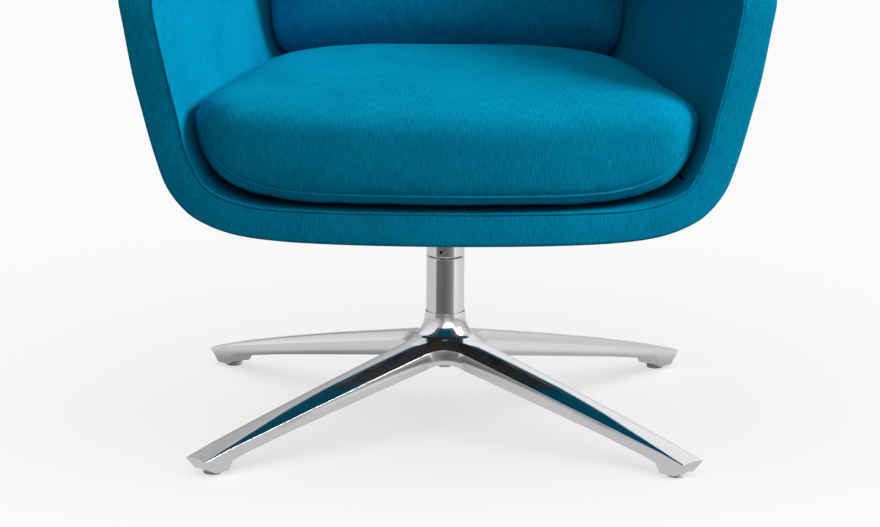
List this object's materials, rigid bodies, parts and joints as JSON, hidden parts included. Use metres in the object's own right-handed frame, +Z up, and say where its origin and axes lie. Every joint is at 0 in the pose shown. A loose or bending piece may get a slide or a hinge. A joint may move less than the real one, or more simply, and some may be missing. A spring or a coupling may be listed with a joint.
{
  "type": "swivel armchair",
  "caption": "Upholstered tub armchair with loose seat and back cushions that turns on a polished cast pedestal with splayed legs.",
  "frame": {"origin": "on the floor, on the swivel axis", "axes": "+Z up, the seat faces -Y, +X to the right when looking along +Y"},
  "size_m": [0.775, 0.7678, 0.8121],
  "materials": {
    "polished_aluminium": "polished die casting",
    "satin_column": "polished steel tube",
    "zinc_steel": "zinc plated",
    "black_steel": "black powder coat",
    "black_screw": "black oxide",
    "acetal": "plain acetal",
    "pale_plastic": "plain translucent nylon",
    "plywood": "sanded birch plywood",
    "foam": "moulded foam",
    "shell_cloth": "woven wool cloth",
    "cushion_cloth": "woven wool cloth",
    "dust_cloth": "black lining cloth",
    "grip_tape": "hook-and-loop tape"
  },
  "bodies": {
    "base": {"star_base": "polished_aluminium", "glides": "pale_plastic", "column_tube": "satin_column", "column_plug": "zinc_steel", "base_bolt": "zinc_steel", "spindle_bushes": "acetal"},
    "seat": {"thrust_washer": "zinc_steel", "spindle": "zinc_steel", "retaining_clip": "zinc_steel", "collar": "satin_column", "grub_screw": "black_screw", "mounting_plate": "black_steel", "plate_bolts": "zinc_steel", "tee_nuts": "zinc_steel", "seat_board": "plywood", "arm_frame": "black_steel", "foam_tub": "foam", "rail_band": "shell_cloth", "arm_band_right": "shell_cloth", "arm_band_left": "shell_cloth", "dust_cover": "dust_cloth", "outer_back": "shell_cloth", "outer_side_right": "shell_cloth", "outer_side_left": "shell_cloth", "deck_cloth": "dust_cloth", "inner_back": "shell_cloth", "inner_arm_right": "shell_cloth", "inner_arm_left": "shell_cloth", "grip_strips": "grip_tape", "seat_cushion": "cushion_cloth", "back_cushion": "cushion_cloth"}
  },
  "joints": [
    {"name": "swivel", "type": "hinge", "parent": "base", "child": "seat", "pos_m": [0, 0, 0.204], "axis": [0, 0, 1], "continuous": true}
  ]
}
